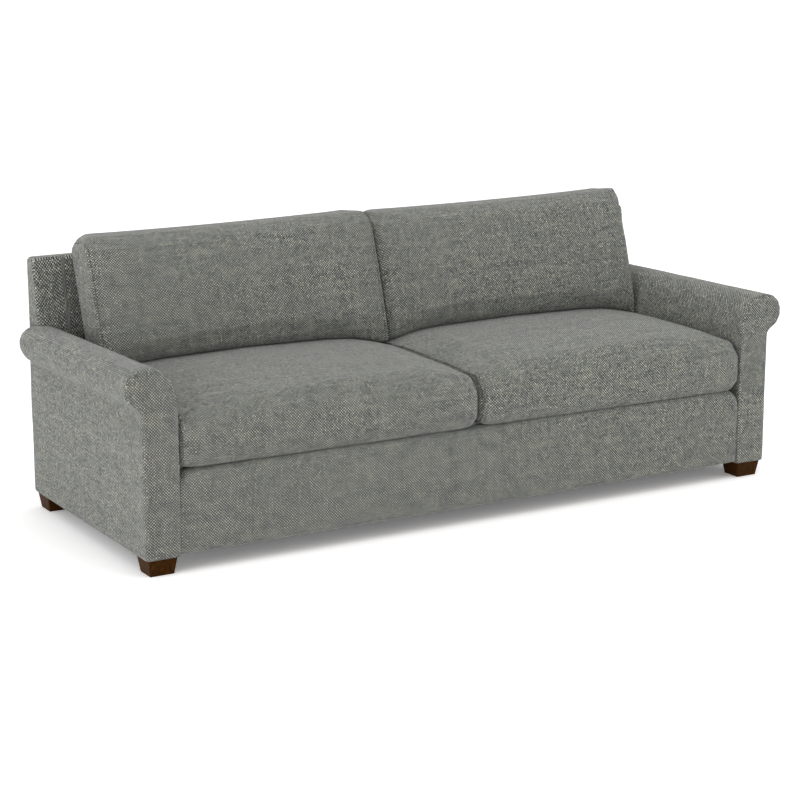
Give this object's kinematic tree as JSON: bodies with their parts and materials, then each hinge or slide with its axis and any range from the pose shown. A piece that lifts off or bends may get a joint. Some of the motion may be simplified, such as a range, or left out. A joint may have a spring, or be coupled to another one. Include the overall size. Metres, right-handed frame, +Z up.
{
  "type": "fabric sofa",
  "caption": "Low fabric sofa with flared rolled arms, loose box seat and back cushions, a plain rail and tapered wooden feet.",
  "frame": {"origin": "on the floor, in the middle of the sofa's plan", "axes": "+X across the sofa to the right as seen from in front, +Y to the back, +Z up"},
  "size_m": [2.41, 0.915, 0.912],
  "materials": {
    "tweed": "chunky woven warm grey tweed with pale and dark flecks",
    "stained_wood": "dark brown stained and sealed hardwood",
    "hardwood": "planed kiln-dried hardwood",
    "plywood": "sanded plywood",
    "hardboard": "pressed hardboard panel",
    "foam": "cut polyurethane foam",
    "wadding": "polyester fibre wadding",
    "webbing": "woven elastic webbing",
    "deck_cloth": "plain woven platform cloth",
    "dust_cloth": "black spun-bonded dust cloth",
    "steel": "zinc-plated hanger bolts",
    "zip": "nylon coil zip on woven tape"
  },
  "bodies": {
    "root": {"foot_front_left": "stained_wood", "foot_rear_left": "stained_wood", "foot_front_right": "stained_wood", "foot_rear_right": "stained_wood", "foot_bolts": "steel", "dust_cover": "dust_cloth", "arm_cover_left": "tweed", "arm_cover_right": "tweed", "arm_padding_left": "foam", "arm_padding_right": "foam", "arm_base_board_left": "hardwood", "arm_base_board_right": "hardwood", "arm_top_board_left": "hardwood", "arm_top_board_right": "hardwood", "arm_roll_board_left": "hardwood", "arm_roll_board_right": "hardwood", "arm_front_board_left": "plywood", "arm_front_board_right": "plywood", "arm_rear_board_left": "plywood", "arm_rear_board_right": "plywood", "arm_outer_panel_left": "hardboard", "arm_outer_panel_right": "hardboard", "arm_inner_panel_left": "hardboard", "arm_inner_panel_right": "hardboard", "front_rail_board": "hardwood", "front_rail_cover": "tweed", "front_rail_padding": "foam", "seat_side_rail_left": "hardwood", "seat_side_rail_right": "hardwood", "seat_rear_rail": "hardwood", "centre_support_rail": "hardwood", "corner_blocks": "hardwood", "back_posts": "hardwood", "back_top_rail": "hardwood", "back_lower_rails": "hardwood", "back_bottom_rails": "hardwood", "back_ear_boards": "hardwood", "seat_webbing_along": "webbing", "seat_webbing_across": "webbing", "back_webbing": "webbing", "deck_pad": "wadding", "deck_cloth": "deck_cloth", "back_cover": "tweed", "back_padding": "foam"},
    "seat_cushion_left": {"seat_cushion_cover_left": "tweed", "seat_cushion_zip_left": "zip", "seat_cushion_core_left": "foam", "seat_cushion_wrap_left": "wadding"},
    "back_cushion_left": {"back_cushion_cover_left": "tweed", "back_cushion_zip_left": "zip", "back_cushion_filling_left": "wadding"},
    "seat_cushion_right": {"seat_cushion_cover_right": "tweed", "seat_cushion_zip_right": "zip", "seat_cushion_core_right": "foam", "seat_cushion_wrap_right": "wadding"},
    "back_cushion_right": {"back_cushion_cover_right": "tweed", "back_cushion_zip_right": "zip", "back_cushion_filling_right": "wadding"}
  },
  "joints": [
    {"name": "seat_cushion_left_lift", "type": "slide", "parent": "root", "child": "seat_cushion_left", "axis": [0, 0, 1], "range_m": [0, 0.34]},
    {"name": "back_cushion_left_lift", "type": "slide", "parent": "seat_cushion_left", "child": "back_cushion_left", "axis": [0, 0, 1], "range_m": [0, 0.4]},
    {"name": "seat_cushion_right_lift", "type": "slide", "parent": "root", "child": "seat_cushion_right", "axis": [0, 0, 1], "range_m": [0, 0.34]},
    {"name": "back_cushion_right_lift", "type": "slide", "parent": "seat_cushion_right", "child": "back_cushion_right", "axis": [0, 0, 1], "range_m": [0, 0.4]}
  ]
}
